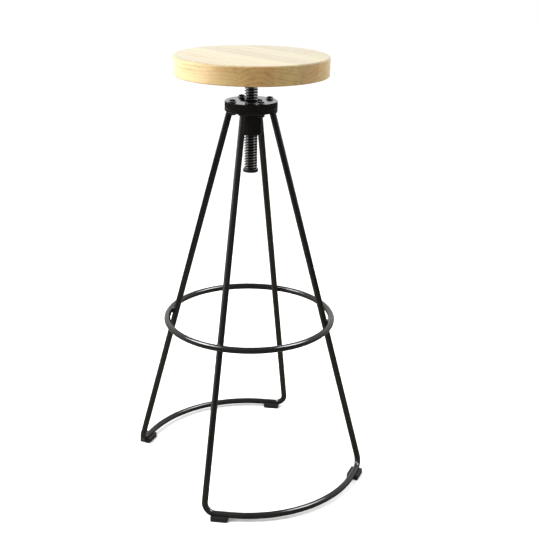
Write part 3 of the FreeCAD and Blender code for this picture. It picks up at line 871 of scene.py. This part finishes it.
class STOOL_OT_frame(bpy.types.Operator):
    """Paint the legs, plates, sleeve and foot ring"""

    bl_idname = "stool.frame"
    bl_label = "Painted Frame"

    def execute(self, context):
        dress(PAINTED_NODES, paint_material(context.scene.stool_metal))
        return {"FINISHED"}


class STOOL_OT_welds(bpy.types.Operator):
    """Add the weld beads at the leg tops, under the frame's paint"""

    bl_idname = "stool.welds"
    bl_label = "Weld Beads"

    def execute(self, context):
        settings = context.scene.stool_weld
        paint = bpy.data.materials["black_paint"]
        for front, end in ((-1, "front"), (1, "rear")):
            for side, hand in ((-1, "left"), (1, "right")):
                sections = leg_bead_sections(settings, side, front)
                run = sum((a[0] - b[0]).length for a, b in zip(sections, sections[1:]))
                ripples = round(run / settings.ripple)
                piece = bead_mesh(f"leg_weld_{end}_{hand}", sections, ripples, settings.leg_bead)
                piece.data.materials.append(paint)
                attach(piece, "frame")
        return {"FINISHED"}


class STOOL_OT_lift(bpy.types.Operator):
    """Finish the lift screw and its nut in blackened steel"""

    bl_idname = "stool.lift"
    bl_label = "Lift Screw"

    def execute(self, context):
        dress(SCREW_NODES, screw_material(context.scene.stool_metal))
        return {"FINISHED"}


class STOOL_OT_fasteners(bpy.types.Operator):
    """Finish the bolts, nuts and washers in black plate and the wood screws in zinc"""

    bl_idname = "stool.fasteners"
    bl_label = "Fasteners"

    def execute(self, context):
        settings = context.scene.stool_metal
        rounding = settings.fastener_rounding
        bright = plated_material("black_plate", settings.bolt, settings.bolt_roughness, rounding)
        dress(BOLT_NODES, bright)
        blackened = plated_material("blackened_plate", settings.nut, settings.nut_roughness, rounding)
        dress(BLACKENED_NODES, blackened)
        zinc = plated_material("zinc_plate", settings.zinc, settings.zinc_roughness, rounding)
        dress(ZINC_NODES, zinc)
        return {"FINISHED"}


class STOOL_OT_feet(bpy.types.Operator):
    """Mould the feet in matte rubber, with cheeks that leave the top of the bar free"""

    bl_idname = "stool.feet"
    bl_label = "Rubber Feet"

    def execute(self, context):
        settings = context.scene.stool_foot
        rubber = rubber_material(settings)
        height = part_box("front_leg_frame")[0].z + bar_radius() - settings.cheek_drop
        for node in FEET:
            piece = saddle_foot(settings, node, height)
            piece.data.materials.clear()
            piece.data.materials.append(rubber)
            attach(piece, "frame")
            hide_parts(node)
        return {"FINISHED"}


# Studio

def gather(name, nodes):
    """Collection of packed nodes that a light is kept to."""
    collection = bpy.data.collections.new(name)
    for node in nodes:
        collection.objects.link(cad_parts[node])
    return collection


def add_light(name, watts, size, place, aim, gloss, lit=None):
    """Soft light for the gloss or for all but the gloss, which the camera doesn't see."""
    data = bpy.data.lights.new(name, "AREA")
    data.energy = watts
    data.shape = "RECTANGLE"
    data.size, data.size_y = size
    light = bpy.data.objects.new(name, data)
    light.location = place
    light.rotation_euler = (aim - place).to_track_quat("-Z", "Y").to_euler()
    light.visible_camera = False
    light.visible_glossy = gloss
    light.visible_diffuse = not gloss
    bpy.context.scene.collection.objects.link(light)
    if lit:
        light.light_linking.receiver_collection = lit


def add_lights(settings, right, towards):
    """Every light of the studio, placed by the directions to the right and towards the camera."""
    seat = UP * cad_box[1].z
    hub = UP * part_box("hub_plate")[1].z
    points = {"floor": Vector((0.0, 0.0, 0.0)), "middle": seat / 2, "hub": hub, "seat": seat}
    lit = {name: gather(name, nodes) for name, nodes in LIT_NODES.items()}
    for light in LIGHTS:
        aside, near, above = light.place
        place = points[light.stands_from] + right * aside + towards * near + UP * above
        aim = points[light.aims_at]
        watts = getattr(settings, light.name)
        add_light(light.name, watts, light.size, place, aim, light.gloss, lit.get(light.lit))
    glow = UP * GLOW_HEIGHT - towards * GLOW_DISTANCE
    add_light("floor_glow", settings.floor_glow, GLOW_SIZE, glow, glow + towards * GLOW_TILT + UP, True)


def studio_world(settings, towards):
    """Pale surroundings, brightest behind the stool and dim on the camera's side, before a plain backdrop."""
    world = bpy.data.worlds.new("studio")
    world.use_nodes = True
    world.node_tree.nodes.clear()
    tree = Tree(world.node_tree)
    direction = tree.add("ShaderNodeTexCoord").outputs["Generated"]
    front = tree.vector("DOT_PRODUCT", direction, towards)
    rays = tree.add("ShaderNodeLightPath").outputs
    in_gloss = rays["Is Glossy Ray"]
    near = tree.ramp(in_gloss, 0.0, 1.0, settings.front_light, settings.front_echo)
    far = tree.ramp(in_gloss, 0.0, 1.0, settings.back_light, settings.back_echo)
    around = tree.ramp(front, *FRONT_BAND, to_low=far, to_high=near)
    height = tree.add("ShaderNodeSeparateXYZ", {"Vector": direction}).outputs["Z"]
    overhead = tree.ramp(height, *OVERHEAD_BAND)
    top = tree.ramp(in_gloss, 0.0, 1.0, settings.top_light, settings.top_echo)
    above = tree.math("MULTIPLY", overhead, top)
    beside = tree.math("MULTIPLY", around, tree.math("SUBTRACT", 1.0, overhead))
    strength = tree.math("ADD", above, beside)
    strength = tree.ramp(rays["Is Camera Ray"], 0.0, 1.0, strength, settings.backdrop)
    background = tree.add("ShaderNodeBackground", {"Color": (1.0, 1.0, 1.0), "Strength": strength})
    tree.add("ShaderNodeOutputWorld", {"Surface": background.outputs["Background"]})
    return world


def floor_material(settings):
    """Plain pale floor with a faint unevenness."""
    material, tree, shader, coords = new_material("pale_floor")
    cloud = tree.noise(coords.outputs["Object"], FLOOR_CELLS)
    pale = tree.mix(cloud, settings.floor[:], scaled(FLOOR_DIMMING, settings.floor))
    rays = tree.add("ShaderNodeLightPath").outputs
    from_stool = tree.vector("LENGTH", coords.outputs["Object"])
    near = tree.ramp(from_stool, *ECHO_BAND, to_low=1.0, to_high=FAR_ECHO)
    echo = tree.mix(near, (0.0, 0.0, 0.0), settings.floor_echo[:])
    pale = tree.mix(rays["Is Diffuse Ray"], pale, settings.floor_bounce[:])
    tree.put(shader.inputs["Base Color"], tree.mix(rays["Is Glossy Ray"], pale, echo))
    tree.put(shader.inputs["Roughness"], tree.ramp(cloud, *FLOOR_BAND, *FLOOR_ROUGHNESS))
    shader.inputs["Specular IOR Level"].default_value = FLOOR_SHINE
    return material


class STOOL_OT_stage(bpy.types.Operator):
    """Lay a pale floor, light it softly and set up the camera"""

    bl_idname = "stool.stage"
    bl_label = "Stage"

    def execute(self, context):
        settings = context.scene.stool_stage
        mesh = bmesh.new()
        bmesh.ops.create_grid(mesh, x_segments=1, y_segments=1, size=settings.floor_size / 2)
        data = bpy.data.meshes.new("floor")
        mesh.to_mesh(data)
        mesh.free()
        floor = bpy.data.objects.new("floor", data)
        context.scene.collection.objects.link(floor)
        data.materials.append(floor_material(settings))
        camera = bpy.data.objects.new("camera", bpy.data.cameras.new("camera"))
        camera.data.lens = settings.lens
        camera.location = settings.camera_place
        camera.rotation_euler = settings.camera_turn
        context.scene.collection.objects.link(camera)
        context.scene.camera = camera
        turn = Euler(settings.camera_turn).to_matrix()
        right = (turn @ Vector((1.0, 0.0, 0.0))).to_2d().normalized().to_3d()
        towards = (turn @ UP).to_2d().normalized().to_3d()
        context.scene.world = studio_world(settings, towards)
        add_lights(settings, right, towards)
        context.scene.view_settings.view_transform = "Standard"
        return {"FINISHED"}


class STOOL_PT_build(bpy.types.Panel):
    """Buttons that build the stool's looks"""

    bl_idname = "STOOL_PT_build"
    bl_label = "Swivel Bar Stool"
    bl_space_type = "VIEW_3D"
    bl_region_type = "UI"
    bl_category = "Stool"

    def draw(self, context):
        for operator in OPERATORS:
            self.layout.operator(operator.bl_idname)
        for name, group in SETTINGS.items():
            box = self.layout.box()
            box.label(text=group.__doc__)
            for prop in group.__annotations__:
                box.prop(getattr(context.scene, name), prop)


SETTINGS = {
    "stool_seat": StoolSeatSettings,
    "stool_metal": StoolMetalSettings,
    "stool_foot": StoolFootSettings,
    "stool_weld": StoolWeldSettings,
    "stool_stage": StoolStageSettings,
}
OPERATORS = (
    STOOL_OT_seat, STOOL_OT_frame, STOOL_OT_welds, STOOL_OT_lift, STOOL_OT_fasteners, STOOL_OT_feet,
    STOOL_OT_stage,
)
CLASSES = (*SETTINGS.values(), *OPERATORS, STOOL_PT_build)


def register():
    for cls in CLASSES:
        bpy.utils.register_class(cls)
    for name, group in SETTINGS.items():
        setattr(bpy.types.Scene, name, PointerProperty(type=group))


def unregister():
    for name in SETTINGS:
        delattr(bpy.types.Scene, name)
    for cls in reversed(CLASSES):
        bpy.utils.unregister_class(cls)


def main():
    register()
    bpy.ops.stool.seat()
    bpy.ops.stool.frame()
    bpy.ops.stool.welds()
    bpy.ops.stool.lift()
    bpy.ops.stool.fasteners()
    bpy.ops.stool.feet()
    bpy.ops.stool.stage()


if __name__ == "__main__":
    main()
